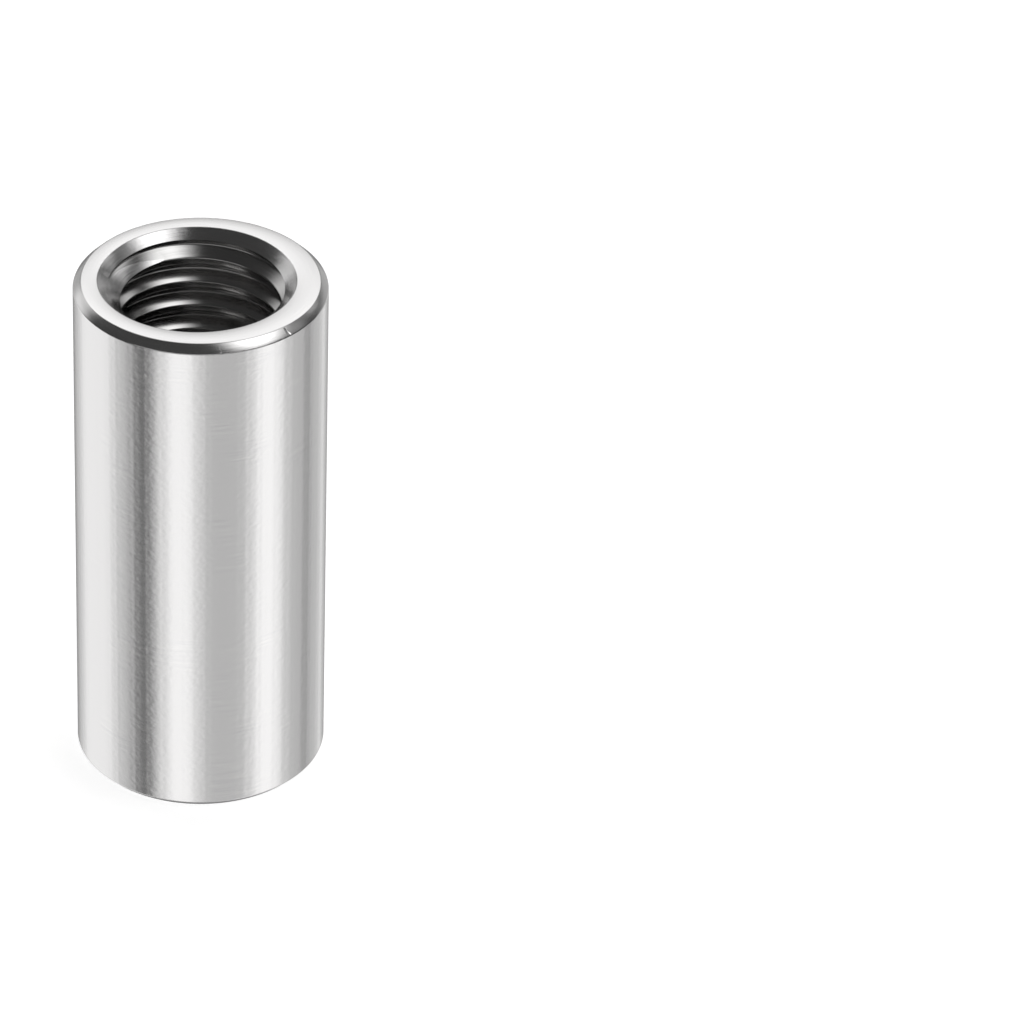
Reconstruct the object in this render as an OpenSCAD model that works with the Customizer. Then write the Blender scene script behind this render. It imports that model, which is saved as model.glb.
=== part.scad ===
// Round coupling nut: a turned steel sleeve, threaded from end to end, that joins two threaded rods.
// It stands on one end. Its axis is Z, and the origin is the centre of the lower end face.

/* [Sleeve] */
// Outer diameter of the sleeve
outer_d = 16; // [14:0.5:30]
// Length of the sleeve, from end face to end face
sleeve_length = 35; // [15:1:100]
// Width of the 45 degree chamfer on the outer edge of each end
edge_chamfer = 0.5; // [0.1:0.1:1.5]

/* [Thread] */
// Nominal diameter of the metric thread
thread_d = 12; // [6:1:14]
// Pitch of the metric thread
thread_pitch = 1.75; // [0.75:0.25:2.5]

/* [Countersinks] */
// How far the mouth of each countersink lies outside the nominal thread, measured along the radius
countersink_margin = 0.25; // [0.1:0.05:1]
// Included angle of each countersink, in degrees
countersink_angle = 90; // [60:5:120]

/* [Hidden] */
$fn = 128;

outer_r = outer_d / 2;

// A metric thread is a 60 degree triangle, and the crests of a nut stand 5/8 of its height inside the nominal diameter
triangle_height = thread_pitch * sqrt(3) / 2;
crest_depth = triangle_height * 5 / 8;

// The bore is the cylinder through the thread's crests
bore_r = thread_d / 2 - crest_depth;

mouth_r = thread_d / 2 + countersink_margin;
countersink_depth = (mouth_r - bore_r) / tan(countersink_angle / 2);

// Corners of one end of the turned section, from the bore outwards.
// inward is 1 at the lower end and -1 at the upper end: the way along Z from the end face into the metal
function end_corners(face_z, inward) = [
    [bore_r, face_z + inward * countersink_depth],
    [mouth_r, face_z],
    [outer_r - edge_chamfer, face_z],
    [outer_r, face_z + inward * edge_chamfer]
];

function reversed(points) = [for (i = [len(points) - 1 : -1 : 0]) points[i]];

// Half of the sleeve cut along its axis, with the bore at the left and the outer wall at the right
module turned_section() {
    polygon(concat(end_corners(0, 1), reversed(end_corners(sleeve_length, -1))));
}

// The whole nut, turned from one bar
module coupling_nut() {
    color("silver")
        rotate_extrude()
            turned_section();
}

coupling_nut();
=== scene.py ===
"""Scene of a round coupling nut: a turned steel sleeve with a cut thread, on a pale studio floor."""

import logging
import math
from dataclasses import dataclass
from enum import Enum

import bmesh
import bpy
from mathutils import Matrix, Vector


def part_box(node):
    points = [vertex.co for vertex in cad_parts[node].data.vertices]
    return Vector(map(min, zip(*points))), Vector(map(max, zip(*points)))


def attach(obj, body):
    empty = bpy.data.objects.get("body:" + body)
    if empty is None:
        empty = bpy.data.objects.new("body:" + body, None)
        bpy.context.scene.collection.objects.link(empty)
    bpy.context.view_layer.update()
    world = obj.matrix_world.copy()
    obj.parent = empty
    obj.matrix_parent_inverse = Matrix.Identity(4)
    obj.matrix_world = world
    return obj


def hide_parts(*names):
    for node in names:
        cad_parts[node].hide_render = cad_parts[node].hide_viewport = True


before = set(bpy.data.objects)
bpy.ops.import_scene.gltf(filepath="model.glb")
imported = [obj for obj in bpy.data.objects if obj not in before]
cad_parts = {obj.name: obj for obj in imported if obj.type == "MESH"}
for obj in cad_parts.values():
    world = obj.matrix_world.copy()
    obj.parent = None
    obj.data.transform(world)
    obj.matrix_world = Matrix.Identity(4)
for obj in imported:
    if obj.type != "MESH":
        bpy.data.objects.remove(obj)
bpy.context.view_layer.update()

LOG = logging.getLogger("coupling_nut")
MM = 0.001
NODE = "coupling_nut"
BODY = "root"

Colour = tuple[float, float, float]
Direction = tuple[float, float, float]

# Turn of the gloss in a metal: a quarter turn stretches it across the tool marks
ACROSS_THE_GROOVES = 0.25
# How fast the tool marks change with height, as a share of how fast they change with radius
AXIAL_SHARE = 0.6
# The dimples are less tall than wide
DIMPLE_SQUASH = (1.0, 1.0, 1.5)

# Noise runs from 0 to 1 about its middle, and more detail makes it finer
NOISE_MIDDLE = 0.5
GROOVE_DETAIL = 3.0
GROOVE_RAGGEDNESS = 0.6
SMOOTH_DETAIL = 1.0

# Patches where the streaks stand out: size, noise at their start and in full, contrast in and outside them
PATCH_SIZE = 3.0 * MM
PATCH_START = 0.52
PATCH_FULL = 0.72
PATCH_CONTRAST = 2.6
PLAIN_CONTRAST = 0.5

# Least share of a face's normal along a direction for the face to look that way, or to slant to it
FACING = 0.9
SLANTED = 0.5

# Slope of the chamfers, in degrees
CHAMFER_ANGLE = 45.0
# Share of a scoop's half thickness by which its middle stands off the chamfer
SCOOP_STANDS_OFF = 2.0 / 3.0

# Elevations of the foot and the head of each stripe that the upright wall mirrors, in degrees
STRIPE_LOW = -85.0
STRIPE_HIGH = -10.0


class Surface(Enum):
    """The surfaces of the nut, in the order of its material slots."""

    WALL = 0
    FACE = 1
    CHAMFER = 2
    COUNTERSINK = 3
    THREAD = 4


class Value:
    """A shader socket that carries a number, with Python's operators as Math nodes."""

    def __init__(self, graph: "ShaderGraph", socket: bpy.types.NodeSocket) -> None:
        """Keeps the graph that the socket belongs to, and the socket."""
        self.graph = graph
        self.socket = socket

    def __add__(self, other: "Value | float") -> "Value":
        """Returns self + other."""
        return self.graph.math("ADD", self, other)

    def __radd__(self, other: "Value | float") -> "Value":
        """Returns other + self."""
        return self.graph.math("ADD", other, self)

    def __sub__(self, other: "Value | float") -> "Value":
        """Returns self - other."""
        return self.graph.math("SUBTRACT", self, other)

    def __rsub__(self, other: "Value | float") -> "Value":
        """Returns other - self."""
        return self.graph.math("SUBTRACT", other, self)

    def __mul__(self, other: "Value | float") -> "Value":
        """Returns self * other."""
        return self.graph.math("MULTIPLY", self, other)

    def __rmul__(self, other: "Value | float") -> "Value":
        """Returns other * self."""
        return self.graph.math("MULTIPLY", other, self)

    def __truediv__(self, other: "Value | float") -> "Value":
        """Returns self / other."""
        return self.graph.math("DIVIDE", self, other)

    def __rtruediv__(self, other: "Value | float") -> "Value":
        """Returns other / self."""
        return self.graph.math("DIVIDE", other, self)


class ShaderGraph:
    """The node tree of one material or world."""

    def __init__(self, owner: bpy.types.Material | bpy.types.World) -> None:
        """Starts an empty node tree.

        Args:
            owner: the material or world that gets it.
        """
        owner.use_nodes = True
        self.tree = owner.node_tree
        self.tree.nodes.clear()

    def node(self, kind: str, settings: dict | None = None, sockets: dict | None = None) -> bpy.types.Node:
        """Adds a node.

        Args:
            kind: the node's type.
            settings: properties of the node, which are set first.
            sockets: input name or index to a number, a colour, a Value or another node's socket.

        Returns:
            The new node.
        """
        made = self.tree.nodes.new(kind)
        for name, setting in (settings or {}).items():
            setattr(made, name, setting)
        for key, source in (sockets or {}).items():
            if isinstance(source, Value):
                source = source.socket
            if isinstance(source, bpy.types.NodeSocket):
                self.tree.links.new(source, made.inputs[key])
            else:
                made.inputs[key].default_value = source
        return made

    def value(self, node: bpy.types.Node, output: str | int = 0) -> Value:
        """Wraps one output of a node."""
        return Value(self, node.outputs[output])

    def math(self, operation: str, *terms: "Value | float") -> Value:
        """Adds a Math node over the terms."""
        return self.value(self.node("ShaderNodeMath", {"operation": operation}, dict(enumerate(terms))))

    def window(self, level: Value, low: float, high: float) -> Value:
        """Adds a smooth step.

        Args:
            level: the number that is tested.
            low: the level at which the step starts.
            high: the level at which it is complete, which may lie below low.

        Returns:
            0 before low and 1 past high.
        """
        if low > high:
            return 1.0 - self.window(level, high, low)
        settings = {"interpolation_type": "SMOOTHSTEP"}
        sockets = {"Value": level, "From Min": low, "From Max": high}
        return self.value(self.node("ShaderNodeMapRange", settings, sockets))


@dataclass(frozen=True)
class Finish:
    """What one cutting tool leaves on the steel. The darker tones of the countersink and the thread are
    painted shade for the bore and its mouth.

    Lengths are in metres. Grooves run round the axis, as on anything turned.
    """

    name: str
    light_tone: Colour
    dark_tone: Colour
    roughness: float
    roughness_spread: float
    anisotropy: float
    groove_pitch: float
    groove_length: float
    groove_depth: float
    dimple_size: float
    dimple_depth: float

    def material(self) -> bpy.types.Material:
        """Builds the material.

        Returns:
            A metal whose grooves and dimples follow object coordinates.
        """
        made = bpy.data.materials.new(self.name)
        graph = ShaderGraph(made)
        place = graph.node("ShaderNodeTexCoord").outputs["Object"]
        grooves = self.grooves(graph, place)
        dimples = self.dimples(graph, place)
        relief = grooves * self.groove_depth + dimples * self.dimple_depth
        bump = graph.node("ShaderNodeBump", None, {"Strength": 1.0, "Distance": 1.0, "Height": relief})
        streaks = self.streaks(graph, place, grooves)
        tone = graph.node(
            "ShaderNodeMix",
            {"data_type": "RGBA"},
            {"Factor": streaks, 6: (*self.dark_tone, 1.0), 7: (*self.light_tone, 1.0)},
        )
        steel = graph.node(
            "ShaderNodeBsdfPrincipled",
            None,
            {
                "Base Color": tone.outputs[2],
                "Metallic": 1.0,
                "Roughness": self.roughness + (grooves - NOISE_MIDDLE) * self.roughness_spread,
                "Anisotropic": self.anisotropy,
                "Anisotropic Rotation": ACROSS_THE_GROOVES,
                "Normal": bump.outputs["Normal"],
            },
        )
        graph.node("ShaderNodeOutputMaterial", None, {"Surface": steel.outputs["BSDF"]})
        return made

    def grooves(self, graph: ShaderGraph, place: bpy.types.NodeSocket) -> Value:
        """Adds tool marks: noise that is long round the axis and fine across it.

        Args:
            graph: the material's graph.
            place: object coordinates.

        Returns:
            The height of the marks, from 0 to 1.
        """
        axes = graph.node("ShaderNodeSeparateXYZ", None, {"Vector": place})
        x, y, z = (graph.value(axes, name) for name in "XYZ")
        radius = graph.math("SQRT", x * x + y * y)
        across = (radius + z * AXIAL_SHARE) / self.groove_pitch
        along = graph.node(
            "ShaderNodeCombineXYZ",
            None,
            {"X": x / self.groove_length, "Y": y / self.groove_length, "Z": across},
        )
        noise = graph.node(
            "ShaderNodeTexNoise",
            None,
            {
                "Vector": along.outputs[0],
                "Scale": 1.0,
                "Detail": GROOVE_DETAIL,
                "Roughness": GROOVE_RAGGEDNESS,
            },
        )
        return graph.value(noise, "Fac")

    def dimples(self, graph: ShaderGraph, place: bpy.types.NodeSocket) -> Value:
        """Adds the fine unevenness of drawn bar.

        Args:
            graph: the material's graph.
            place: object coordinates.

        Returns:
            The height of the dimples, from 0 to 1.
        """
        flattened = graph.node(
            "ShaderNodeVectorMath",
            {"operation": "MULTIPLY"},
            {0: place, 1: DIMPLE_SQUASH},
        )
        noise = graph.node(
            "ShaderNodeTexNoise",
            None,
            {"Vector": flattened.outputs[0], "Scale": 1.0 / self.dimple_size, "Detail": SMOOTH_DETAIL},
        )
        return graph.value(noise, "Fac")

    def streaks(self, graph: ShaderGraph, place: bpy.types.NodeSocket, grooves: Value) -> Value:
        """Adds faint streaks of tone along the grooves, which stand out in patches.

        Args:
            graph: the material's graph.
            place: object coordinates.
            grooves: the height of the tool marks, from 0 to 1.

        Returns:
            The share of the light tone, about 0 to 1.
        """
        noise = graph.node(
            "ShaderNodeTexNoise",
            None,
            {"Vector": place, "Scale": 1.0 / PATCH_SIZE, "Detail": SMOOTH_DETAIL},
        )
        patches = graph.window(graph.value(noise, "Fac"), PATCH_START, PATCH_FULL)
        contrast = PLAIN_CONTRAST + patches * PATCH_CONTRAST
        return NOISE_MIDDLE + (grooves - NOISE_MIDDLE) * contrast


STEEL_LIGHT: Colour = (0.85, 0.842, 0.835)
STEEL_DARK: Colour = (0.785, 0.777, 0.78)
# Darker steel for the countersink: painted shade for the mouth of the bore
SHADED_CONE_LIGHT: Colour = (0.75, 0.743, 0.737)
SHADED_CONE_DARK: Colour = (0.64, 0.633, 0.635)
# Darker steel for the thread: painted shade for the deep bore, which keeps its reflections dim
SHADED_THREAD_LIGHT: Colour = (0.56, 0.555, 0.55)
SHADED_THREAD_DARK: Colour = (0.46, 0.455, 0.45)

FINISHES: dict[Surface, Finish] = {
    Surface.WALL: Finish(
        name="drawn_wall",
        light_tone=STEEL_LIGHT,
        dark_tone=STEEL_DARK,
        roughness=0.24,
        roughness_spread=0.06,
        anisotropy=0.6,
        groove_pitch=0.12 * MM,
        groove_length=4.0 * MM,
        groove_depth=0.0006 * MM,
        dimple_size=0.42 * MM,
        dimple_depth=0.009 * MM,
    ),
    Surface.FACE: Finish(
        name="faced_end",
        light_tone=STEEL_LIGHT,
        dark_tone=STEEL_DARK,
        roughness=0.22,
        roughness_spread=0.1,
        anisotropy=0.5,
        groove_pitch=0.1 * MM,
        groove_length=5.0 * MM,
        groove_depth=0.001 * MM,
        dimple_size=0.4 * MM,
        dimple_depth=0.0004 * MM,
    ),
    Surface.CHAMFER: Finish(
        name="chamfer",
        light_tone=STEEL_LIGHT,
        dark_tone=STEEL_DARK,
        roughness=0.2,
        roughness_spread=0.08,
        anisotropy=0.5,
        groove_pitch=0.08 * MM,
        groove_length=3.0 * MM,
        groove_depth=0.006 * MM,
        dimple_size=0.5 * MM,
        dimple_depth=0.001 * MM,
    ),
    # The countersink's darker tones are painted shade for the mouth of the bore
    Surface.COUNTERSINK: Finish(
        name="countersink",
        light_tone=SHADED_CONE_LIGHT,
        dark_tone=SHADED_CONE_DARK,
        roughness=0.2,
        roughness_spread=0.08,
        anisotropy=0.5,
        groove_pitch=0.15 * MM,
        groove_length=4.0 * MM,
        groove_depth=0.006 * MM,
        dimple_size=0.6 * MM,
        dimple_depth=0.006 * MM,
    ),
    # The thread's dark tones are painted shade for the inside of the bore
    Surface.THREAD: Finish(
        name="cut_thread",
        light_tone=SHADED_THREAD_LIGHT,
        dark_tone=SHADED_THREAD_DARK,
        roughness=0.17,
        roughness_spread=0.06,
        anisotropy=0.3,
        groove_pitch=0.12 * MM,
        groove_length=3.0 * MM,
        groove_depth=0.0008 * MM,
        dimple_size=0.5 * MM,
        dimple_depth=0.001 * MM,
    ),
}


@dataclass(frozen=True)
class Nick:
    """A small scoop that a knock has left on the upper chamfer.

    Lengths are in metres. The bearing is in degrees from the camera's side, and grows to the right. The
    drop is measured down the chamfer from the end face, and the lean is the scoop's turn away from the
    slope, in degrees.
    """

    bearing: float
    drop: float
    length: float
    width: float
    depth: float
    lean: float = 0.0

    def carve(self, shape: bmesh.types.BMesh, face_radius: float, face_height: float) -> None:
        """Adds the body that scoops the nick out.

        The body is a flat ellipsoid, most of which stands out of the chamfer.

        Args:
            shape: the cutting shape, which gains the body.
            face_radius: outer radius of the end face, where the chamfer starts.
            face_height: height of the end face.
        """
        half_thickness = self.depth / (1.0 - SCOOP_STANDS_OFF)
        spread = 1.0 / math.sqrt(1.0 - SCOOP_STANDS_OFF**2)
        sizes = (self.width / 2 * spread, self.length / 2 * spread, half_thickness)
        slope = math.radians(CHAMFER_ANGLE)
        downhill = Vector((0.0, -math.cos(slope), -math.sin(slope)))
        outward = Vector((0.0, -math.sin(slope), math.cos(slope)))
        middle = Vector((0.0, -face_radius, face_height)) + downhill * self.drop
        place = (
            Matrix.Rotation(math.radians(self.bearing), 4, "Z")
            @ Matrix.Translation(middle + outward * (half_thickness - self.depth))
            @ Matrix.Rotation(slope, 4, "X")
            @ Matrix.Rotation(math.radians(self.lean), 4, "Z")
            @ Matrix.Diagonal((*sizes, 1.0))
        )
        bmesh.ops.create_icosphere(shape, subdivisions=3, radius=1.0, matrix=place)


NICKS = (
    Nick(bearing=43.6, drop=0.38 * MM, length=0.6 * MM, width=0.17 * MM, depth=0.02 * MM, lean=14.0),
    Nick(bearing=9.2, drop=0.7 * MM, length=0.17 * MM, width=0.22 * MM, depth=0.022 * MM),
)


@dataclass
class CouplingNut:
    """The whole nut: a turned sleeve, chamfered, countersunk and tapped from end to end.

    Lengths are in metres and angles in degrees. The grooves' roots stop a little short of the thread's
    nominal radius, as a worn tap leaves them.
    """

    outer_radius: float
    length: float
    thread_radius: float = 6.0 * MM
    thread_pitch: float = 1.75 * MM
    edge_chamfer: float = 0.5 * MM
    countersink_margin: float = 0.25 * MM
    edge_round: float = 0.06 * MM
    root_radius: float = 5.9 * MM
    crest_round: float = 0.08 * MM
    root_round: float = 0.08 * MM
    crest_below_top: float = 1.72 * MM
    mouth_offset: tuple[float, float] = (-0.235 * MM, 0.105 * MM)
    wall_steps: int = 256
    thread_steps: int = 128
    round_segments: int = 3
    spare_turns: int = 2
    flank_angle: float = 30.0
    sharp_angle: float = 28.0
    straight_angle: float = 1.0
    nicks: tuple[Nick, ...] = NICKS

    @property
    def crest_radius(self) -> float:
        """Radius over the thread's crests, 5/8 of the 60 degree triangle inside the nominal radius."""
        return self.thread_radius - self.thread_pitch * math.sqrt(3) / 2 * 5 / 8

    @property
    def mouth_radius(self) -> float:
        """Radius of each countersink on its end face."""
        return self.thread_radius + self.countersink_margin

    @property
    def pilot_radius(self) -> float:
        """Radius of the hole before tapping, well inside the crests so that the tap cuts all of the bore."""
        return self.crest_radius - self.thread_pitch

    @property
    def merge_distance(self) -> float:
        """Distance below which two points count as one."""
        return self.edge_round / 100

    def build(self) -> bpy.types.Object:
        """Turns the blank, taps it and dresses it.

        Returns:
            The finished piece.
        """
        blank = self.new_object("coupling_nut_body", self.turned_blank())
        tools = self.tap_solid()
        self.carve_nicks(tools)
        tap = self.new_object("tap", tools)
        cut = blank.modifiers.new("thread", "BOOLEAN")
        cut.operation = "DIFFERENCE"
        cut.solver = "EXACT"
        cut.object = tap
        self.apply_modifiers(blank)
        bpy.data.objects.remove(tap)
        self.clean(blank)
        self.shade(blank)
        return blank

    def dress(self, nut: bpy.types.Object) -> None:
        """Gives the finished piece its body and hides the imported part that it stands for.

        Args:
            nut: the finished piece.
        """
        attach(nut, BODY)
        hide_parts(NODE)

    def new_object(self, name: str, shape: bmesh.types.BMesh) -> bpy.types.Object:
        """Makes an object of a bmesh.

        Args:
            name: the object's name.
            shape: its shape, which is freed.

        Returns:
            The object, with one material slot for each surface.
        """
        mesh = bpy.data.meshes.new(name)
        shape.to_mesh(mesh)
        shape.free()
        for surface in Surface:
            mesh.materials.append(self.materials()[surface])
        made = bpy.data.objects.new(name, mesh)
        bpy.context.scene.collection.objects.link(made)
        return made

    def materials(self) -> dict[Surface, bpy.types.Material]:
        """Builds each surface's material the first time.

        Returns:
            The material of each surface, the same ones each time.
        """
        return {
            surface: bpy.data.materials.get(finish.name) or finish.material()
            for surface, finish in FINISHES.items()
        }

    def end_corners(self, face_z: float, inward: float) -> list[Vector]:
        """Lists the corners of one end of the turned section, from the pilot hole outwards.

        Args:
            face_z: height of the end face.
            inward: 1 at the lower end and -1 at the upper end.

        Returns:
            The corners, in the XZ plane.
        """
        cone_depth = self.mouth_radius - self.pilot_radius
        return [
            Vector((self.pilot_radius, 0.0, face_z + inward * cone_depth)),
            Vector((self.mouth_radius, 0.0, face_z)),
            Vector((self.outer_radius - self.edge_chamfer, 0.0, face_z)),
            Vector((self.outer_radius, 0.0, face_z + inward * self.edge_chamfer)),
        ]

    def turned_blank(self) -> bmesh.types.BMesh:
        """Revolves the section and breaks its sharp edges.

        Returns:
            The blank before tapping.
        """
        shape = bmesh.new()
        corners = self.end_corners(0.0, 1.0) + self.end_corners(self.length, -1.0)[::-1]
        verts = [shape.verts.new(corner) for corner in corners]
        edges = [shape.edges.new(pair) for pair in zip(verts, verts[1:] + verts[:1])]
        bmesh.ops.spin(
            shape,
            geom=verts + edges,
            cent=(0.0, 0.0, 0.0),
            axis=(0.0, 0.0, 1.0),
            angle=math.tau,
            steps=self.wall_steps,
            use_merge=True,
        )
        bmesh.ops.remove_doubles(shape, verts=shape.verts[:], dist=self.merge_distance)
        bmesh.ops.recalc_face_normals(shape, faces=shape.faces[:])
        for face in shape.faces:
            face.material_index = self.surface_of(face).value
        rims = [edge for edge in shape.edges if self.is_rim(edge)]
        bmesh.ops.bevel(
            shape,
            geom=rims,
            offset=self.edge_round,
            offset_type="OFFSET",
            affect="EDGES",
            segments=self.round_segments,
            profile=0.5,
            material=-1,
        )
        self.set_mouth_aside(shape)
        return shape

    def set_mouth_aside(self, shape: bmesh.types.BMesh) -> None:
        """Moves the upper countersink to where its drill ran, a little off the axis.

        Args:
            shape: the blank, which is changed.
        """
        middle_of_face = (self.mouth_radius + self.outer_radius - self.edge_chamfer) / 2
        upper = [vert for vert in shape.verts if vert.co.z > self.length / 2]
        mouth = [vert for vert in upper if vert.co.xy.length < middle_of_face]
        bmesh.ops.translate(shape, verts=mouth, vec=(*self.mouth_offset, 0.0))

    def surface_of(self, face: bmesh.types.BMFace) -> Surface:
        """Says which surface a face of the blank belongs to.

        Args:
            face: a face with its normal outwards.

        Returns:
            The surface.
        """
        centre = face.calc_center_median()
        outward = face.normal.dot(Vector((centre.x, centre.y, 0.0)).normalized())
        if outward > FACING:
            return Surface.WALL
        if outward > SLANTED:
            return Surface.CHAMFER
        if abs(face.normal.z) > FACING:
            return Surface.FACE
        return Surface.COUNTERSINK

    def is_rim(self, edge: bmesh.types.BMEdge) -> bool:
        """Tells whether an edge of the blank runs round the axis outside the pilot hole.

        Args:
            edge: an edge of the blank before its sharp edges are broken.

        Returns:
            True for an edge that is broken.
        """
        start, end = (vert.co for vert in edge.verts)
        level = abs(start.z - end.z) < self.merge_distance
        round_axis = abs(start.xy.length - end.xy.length) < self.merge_distance
        return level and round_axis and start.xy.length > self.crest_radius

    def tap_solid(self) -> bmesh.types.BMesh:
        """Winds the thread's profile into a right-hand tap that is longer than the nut at both ends.

        The profile runs from the middle of one crest to the middle of the next. It starts a quarter turn
        before the back of the bore, where the distance of a crest from the top is given.

        Returns:
            The solid that the tap sweeps, which is taken out of the blank.
        """
        pitch = self.thread_pitch
        quarter_turn_rise = pitch / 4
        crest_at_start = self.length - self.crest_below_top - quarter_turn_rise
        turns_below = math.ceil(crest_at_start / pitch) + self.spare_turns
        start = crest_at_start - turns_below * pitch
        turns = turns_below + 2 * self.spare_turns
        half_crest = pitch / 8
        flank = (self.root_radius - self.crest_radius) * math.tan(math.radians(self.flank_angle))
        profile = [
            (self.crest_radius, 0.0),
            (self.crest_radius, half_crest),
            (self.root_radius, half_crest + flank),
            (self.root_radius, pitch - half_crest - flank),
            (self.crest_radius, pitch - half_crest),
            (self.crest_radius, pitch),
        ]
        shape = bmesh.new()
        verts = [shape.verts.new((radius, 0.0, start + rise)) for radius, rise in profile]
        for pair in zip(verts, verts[1:]):
            shape.edges.new(pair)
        crest_corners = [verts[1], verts[4]]
        root_corners = [verts[2], verts[3]]
        for corners, size in ((crest_corners, self.crest_round), (root_corners, self.root_round)):
            bmesh.ops.bevel(
                shape,
                geom=corners,
                offset=size,
                offset_type="OFFSET",
                affect="VERTICES",
                segments=self.round_segments,
                profile=0.5,
                material=-1,
            )
        bmesh.ops.spin(
            shape,
            geom=shape.verts[:] + shape.edges[:],
            cent=(0.0, 0.0, 0.0),
            axis=(0.0, 0.0, 1.0),
            dvec=(0.0, 0.0, pitch / self.thread_steps),
            angle=math.tau,
            steps=self.thread_steps,
        )
        one_turn = shape.verts[:] + shape.edges[:] + shape.faces[:]
        for turn in range(1, turns):
            copied = bmesh.ops.duplicate(shape, geom=one_turn)["geom"]
            moved = [item for item in copied if isinstance(item, bmesh.types.BMVert)]
            bmesh.ops.translate(shape, verts=moved, vec=(0.0, 0.0, turn * pitch))
        bmesh.ops.remove_doubles(shape, verts=shape.verts[:], dist=self.merge_distance)
        self.trim(shape, -self.edge_chamfer, -1.0)
        self.trim(shape, self.length + self.edge_chamfer, 1.0)
        bmesh.ops.recalc_face_normals(shape, faces=shape.faces[:])
        for face in shape.faces:
            face.material_index = Surface.THREAD.value
        return shape

    def carve_nicks(self, shape: bmesh.types.BMesh) -> None:
        """Adds the bodies of the nicks to the cutting shape, with the chamfer's finish.

        Args:
            shape: the cutting shape, which is changed.
        """
        threaded = set(shape.faces)
        for nick in self.nicks:
            nick.carve(shape, self.outer_radius - self.edge_chamfer, self.length)
        for face in shape.faces:
            if face not in threaded:
                face.material_index = Surface.CHAMFER.value

    def trim(self, shape: bmesh.types.BMesh, height: float, way: float) -> None:
        """Cuts a shape level and closes the cut.

        Args:
            shape: the shape, which is changed.
            height: where it is cut.
            way: 1 to remove what is above, -1 to remove what is below.
        """
        cut = bmesh.ops.bisect_plane(
            shape,
            geom=shape.verts[:] + shape.edges[:] + shape.faces[:],
            dist=self.merge_distance,
            plane_co=(0.0, 0.0, height),
            plane_no=(0.0, 0.0, way),
            clear_outer=True,
        )
        rim = [item for item in cut["geom_cut"] if isinstance(item, bmesh.types.BMEdge)]
        bmesh.ops.edgeloop_fill(shape, edges=rim)

    def apply_modifiers(self, piece: bpy.types.Object) -> None:
        """Replaces a piece's mesh with what its modifiers make of it.

        Args:
            piece: the piece, which is left with no modifiers.
        """
        evaluated = piece.evaluated_get(bpy.context.evaluated_depsgraph_get())
        piece.data = bpy.data.meshes.new_from_object(evaluated)
        piece.modifiers.clear()

    def clean(self, piece: bpy.types.Object) -> None:
        """Removes what the cut has left over: points in one place, slivers, and points along a straight edge.

        Args:
            piece: the piece, whose mesh is changed.
        """
        shape = bmesh.new()
        shape.from_mesh(piece.data)
        bmesh.ops.remove_doubles(shape, verts=shape.verts[:], dist=self.merge_distance)
        bmesh.ops.dissolve_degenerate(shape, edges=shape.edges[:], dist=self.merge_distance)
        limit = math.radians(self.straight_angle)
        along = [vert for vert in shape.verts if len(vert.link_edges) == 2 and vert.calc_edge_angle() < limit]
        bmesh.ops.dissolve_verts(shape, verts=along)
        shape.to_mesh(piece.data)
        shape.free()

    def shade(self, piece: bpy.types.Object) -> None:
        """Shades a piece smooth, with its true edges sharp and its flats flat.

        Args:
            piece: the piece, whose mesh is changed.
        """
        piece.data.shade_smooth()
        piece.data.set_sharp_from_angle(angle=math.radians(self.sharp_angle))
        weighted = piece.modifiers.new("flats", "WEIGHTED_NORMAL")
        weighted.keep_sharp = True
        weighted.weight = 100
        weighted.thresh = 0.0
        self.apply_modifiers(piece)


@dataclass(frozen=True)
class Ray:
    """Which way a ray of the studio goes.

    The direction is a unit vector, level is its level part made a unit vector, and height is its rise.
    """

    direction: bpy.types.NodeSocket
    level: bpy.types.NodeSocket
    height: Value


def soft_arc(
    graph: ShaderGraph,
    direction: bpy.types.NodeSocket,
    towards: Direction,
    reach: float,
    softness: float,
) -> Value:
    """Adds a window on the angle between two directions.

    Args:
        graph: the world's graph.
        direction: the unit vector that is tested.
        towards: the unit vector at the middle of the window.
        reach: the angle at which the window is half open, in degrees.
        softness: how far to either side of that it opens and closes, in degrees.

    Returns:
        1 near the middle and 0 outside.
    """
    dot = graph.node("ShaderNodeVectorMath", {"operation": "DOT_PRODUCT"}, {0: direction, 1: towards})
    cosine = graph.value(dot, "Value")
    sine_of_half = graph.math("SQRT", (1.0 - cosine) * 0.5)
    outer, inner = (math.sin(math.radians(angle) / 2) for angle in (reach + softness, reach - softness))
    return graph.window(sine_of_half, outer, inner)


@dataclass(frozen=True)
class Softbox:
    """A round soft light seen from the nut.

    Angles are in degrees. Azimuth 0 is the camera's side and 90 is to the right of it.
    """

    azimuth: float
    elevation: float
    radius: float
    softness: float
    level: float

    def light(self, graph: ShaderGraph, ray: Ray) -> Value:
        """Adds the softbox to the studio.

        Args:
            graph: the world's graph.
            ray: the ray that may meet it.

        Returns:
            The light that the softbox sends along the ray.
        """
        facing, rise = math.radians(self.azimuth), math.radians(self.elevation)
        towards = (math.sin(facing) * math.cos(rise), -math.cos(facing) * math.cos(rise), math.sin(rise))
        return soft_arc(graph, ray.direction, towards, self.radius, self.softness) * self.level


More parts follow.
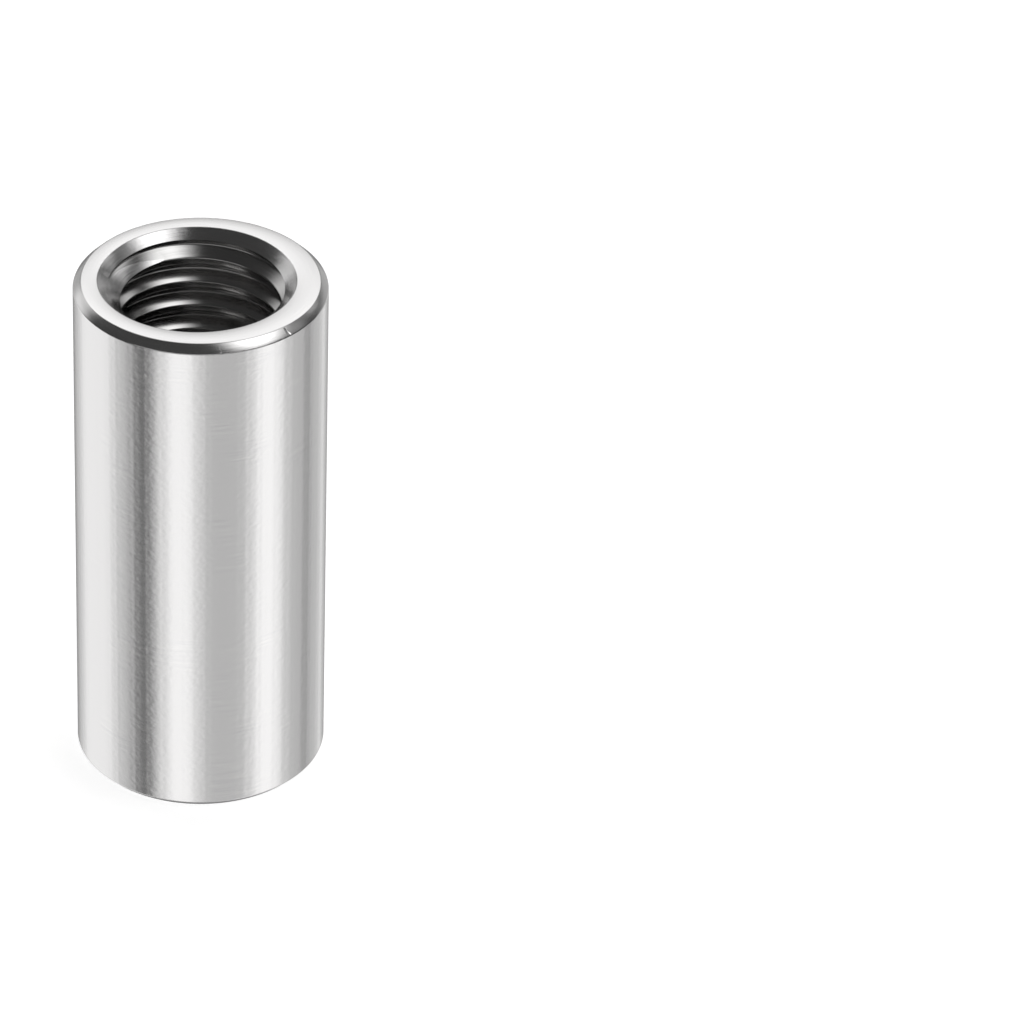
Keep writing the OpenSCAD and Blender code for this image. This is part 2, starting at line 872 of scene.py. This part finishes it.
@dataclass(frozen=True)
class Panel:
    """A soft light, or with a negative level a dark flag, seen from the nut.

    Angles are in degrees. Azimuth 0 is the camera's side and 90 is to the right of it.
    """

    azimuth: float
    half_width: float
    low: float
    high: float
    softness: float
    level: float

    @classmethod
    def stripe(cls, azimuth: float, half_width: float, softness: float, level: float) -> "Panel":
        """Makes a panel low down, which the upright wall mirrors as a stripe."""
        return cls(azimuth, half_width, STRIPE_LOW, STRIPE_HIGH, softness, level)

    def light(self, graph: ShaderGraph, ray: Ray) -> Value:
        """Adds the panel to the studio.

        Args:
            graph: the world's graph.
            ray: the ray that may meet it.

        Returns:
            The light that the panel sends along the ray.
        """
        facing = math.radians(self.azimuth)
        towards = (math.sin(facing), -math.cos(facing), 0.0)
        across = soft_arc(graph, ray.level, towards, self.half_width, self.softness)
        soft = math.radians(self.softness)
        bottom, top = (math.sin(math.radians(angle)) for angle in (self.low, self.high))
        above = graph.window(ray.height, bottom - soft, bottom + soft)
        below = graph.window(ray.height, top + soft, top - soft)
        return across * above * below * self.level


@dataclass
class Studio:
    """The floor, the light tent and the camera.

    Lengths are in metres and angles in degrees. A level or a glow of 1 is white.
    """

    centre: Vector
    footing_radius: float
    footing_segments: int = 64
    floor_gap: float = 0.01 * MM
    floor_half: float = 2.0
    floor_colour: Colour = (0.92, 0.92, 0.92)
    floor_glow: float = 0.72
    tent_above: float = 0.06
    tent_below: float = 0.725
    horizon: tuple[float, float] = (-4.0, -20.0)
    panels: tuple[Softbox | Panel, ...] = (
        # Key light, and a small light above for the thread
        Softbox(azimuth=70.0, elevation=56.0, radius=17.0, softness=12.0, level=2.4),
        Softbox(azimuth=94.0, elevation=72.0, radius=7.0, softness=6.0, level=1.0),
        # Front panel, which the end face mirrors in views from behind
        Panel(azimuth=0.0, half_width=60.0, low=8.0, high=22.0, softness=6.0, level=0.85),
        # Lights behind and beside the nut, which the end face and the slanted edges mirror
        Panel(azimuth=180.0, half_width=58.0, low=24.0, high=60.0, softness=11.0, level=1.45),
        Panel(azimuth=-128.0, half_width=14.0, low=4.0, high=20.0, softness=8.0, level=0.85),
        Panel(azimuth=180.0, half_width=62.0, low=-12.0, high=10.0, softness=6.0, level=0.48),
        Softbox(azimuth=99.0, elevation=33.0, radius=9.0, softness=8.0, level=0.3),
        # Stripes and flags, which the upright wall mirrors
        Panel.stripe(azimuth=-112.4, half_width=27.0, softness=9.3, level=0.56),
        Panel.stripe(azimuth=-19.9, half_width=15.5, softness=15.5, level=0.78),
        Panel.stripe(azimuth=64.2, half_width=15.6, softness=14.9, level=0.81),
        Panel.stripe(azimuth=146.0, half_width=4.2, softness=4.0, level=0.55),
        Panel.stripe(azimuth=-55.4, half_width=7.0, softness=7.0, level=-0.62),
        Panel.stripe(azimuth=113.6, half_width=2.5, softness=2.5, level=-0.6),
        Panel.stripe(azimuth=182.0, half_width=20.0, softness=8.0, level=-0.45),
    )
    image_pixels: float = 1024.0
    nut_pixel: tuple[float, float] = (200.84, 513.1)
    focal_pixels: float = 6898.0
    camera_distance: float = 0.4408
    camera_elevation: float = 33.61
    clip_share: float = 0.01

    def build(self) -> None:
        """Makes the floor, the tent and the camera."""
        self.build_floor()
        self.build_tent()
        self.build_camera()

    def build_floor(self) -> None:
        """Lays a pale floor that the camera sees as white, and the patch of it that the nut stands over.

        The nut's metal mirrors the tent in place of the open floor. The patch closes the bore from below.
        """
        sheet = bmesh.new()
        bmesh.ops.create_grid(sheet, x_segments=1, y_segments=1, size=self.floor_half)
        floor = self.lay("floor", sheet, -2 * self.floor_gap, self.floor_glow)
        floor.visible_glossy = False
        disc = bmesh.new()
        bmesh.ops.create_circle(
            disc,
            cap_ends=True,
            segments=self.footing_segments,
            radius=self.footing_radius,
        )
        self.lay("footing", disc, -self.floor_gap, 0.0)

    def lay(self, name: str, shape: bmesh.types.BMesh, height: float, glow: float) -> bpy.types.Object:
        """Lays a sheet of the floor.

        Args:
            name: the sheet's name.
            shape: its shape at height 0, which is freed.
            height: where it lies.
            glow: how far it shines to the camera.

        Returns:
            The sheet, which is no part of the nut.
        """
        bmesh.ops.translate(shape, verts=shape.verts[:], vec=(0.0, 0.0, height))
        mesh = bpy.data.meshes.new(name)
        shape.to_mesh(mesh)
        shape.free()
        mesh.materials.append(self.floor_material(name, glow))
        sheet = bpy.data.objects.new(name, mesh)
        bpy.context.scene.collection.objects.link(sheet)
        return sheet

    def floor_material(self, name: str, glow: float) -> bpy.types.Material:
        """Builds the floor's matt white.

        Args:
            name: the material's name.
            glow: how far it shines to the camera.

        Returns:
            A diffuse material with a glow that only the camera sees.
        """
        made = bpy.data.materials.new(name)
        graph = ShaderGraph(made)
        seen = graph.value(graph.node("ShaderNodeLightPath"), "Is Camera Ray")
        matt = graph.node("ShaderNodeBsdfDiffuse", None, {"Color": (*self.floor_colour, 1.0)})
        shine = graph.node("ShaderNodeEmission", None, {"Strength": seen * glow})
        both = graph.node("ShaderNodeAddShader", None, {0: matt.outputs[0], 1: shine.outputs[0]})
        graph.node("ShaderNodeOutputMaterial", None, {"Surface": both.outputs[0]})
        return made

    def build_tent(self) -> None:
        """Sets the world: white to the camera, and a dim tent with soft panels and flags to the nut."""
        world = bpy.data.worlds.new("light_tent")
        bpy.context.scene.world = world
        graph = ShaderGraph(world)
        direction = graph.node("ShaderNodeTexCoord").outputs["Generated"]
        height = graph.value(graph.node("ShaderNodeSeparateXYZ", None, {"Vector": direction}), "Z")
        flat = graph.node(
            "ShaderNodeVectorMath",
            {"operation": "MULTIPLY"},
            {0: direction, 1: (1.0, 1.0, 0.0)},
        )
        level = graph.node("ShaderNodeVectorMath", {"operation": "NORMALIZE"}, {0: flat.outputs[0]})
        ray = Ray(direction, level.outputs[0], height)
        below = graph.window(height, *(math.sin(math.radians(angle)) for angle in self.horizon))
        light = self.tent_above + below * (self.tent_below - self.tent_above)
        for panel in self.panels:
            light = light + panel.light(graph, ray)
        seen = graph.value(graph.node("ShaderNodeLightPath"), "Is Camera Ray")
        shown = seen + (1.0 - seen) * light
        background = graph.node("ShaderNodeBackground", None, {"Strength": shown})
        graph.node("ShaderNodeOutputWorld", None, {"Surface": background.outputs[0]})

    def build_camera(self) -> None:
        """Places the camera at the photograph's angle, with the nut left of the picture's middle."""
        data = bpy.data.cameras.new("camera")
        data.lens = self.focal_pixels * data.sensor_width / self.image_pixels
        data.clip_start = self.camera_distance * self.clip_share
        camera = bpy.data.objects.new("camera", data)
        elevation = math.radians(self.camera_elevation)
        back = Vector((0.0, -math.cos(elevation), math.sin(elevation)))
        middle = self.image_pixels / 2
        aside = math.atan((middle - self.nut_pixel[0]) / self.focal_pixels)
        drop = math.atan((self.nut_pixel[1] - middle) / self.focal_pixels)
        aim = (-back).to_track_quat("-Z", "Y").to_matrix().to_4x4()
        turn = Matrix.Rotation(-aside, 4, "Y") @ Matrix.Rotation(drop, 4, "X")
        camera.matrix_world = Matrix.Translation(self.centre + back * self.camera_distance) @ aim @ turn
        bpy.context.scene.collection.objects.link(camera)
        bpy.context.scene.camera = camera
        bpy.context.scene.view_settings.view_transform = "Standard"


def main() -> None:
    """Builds the nut and its studio, in order."""
    logging.basicConfig(level=logging.INFO, format="%(name)s: %(message)s")
    low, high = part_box(NODE)
    nut = CouplingNut(outer_radius=high.x, length=high.z - low.z)
    piece = nut.build()
    nut.dress(piece)
    LOG.info("%s has %d faces", piece.name, len(piece.data.polygons))
    Studio(centre=(low + high) / 2, footing_radius=nut.mouth_radius).build()
    LOG.info("studio is lit")


if __name__ == "__main__":
    main()
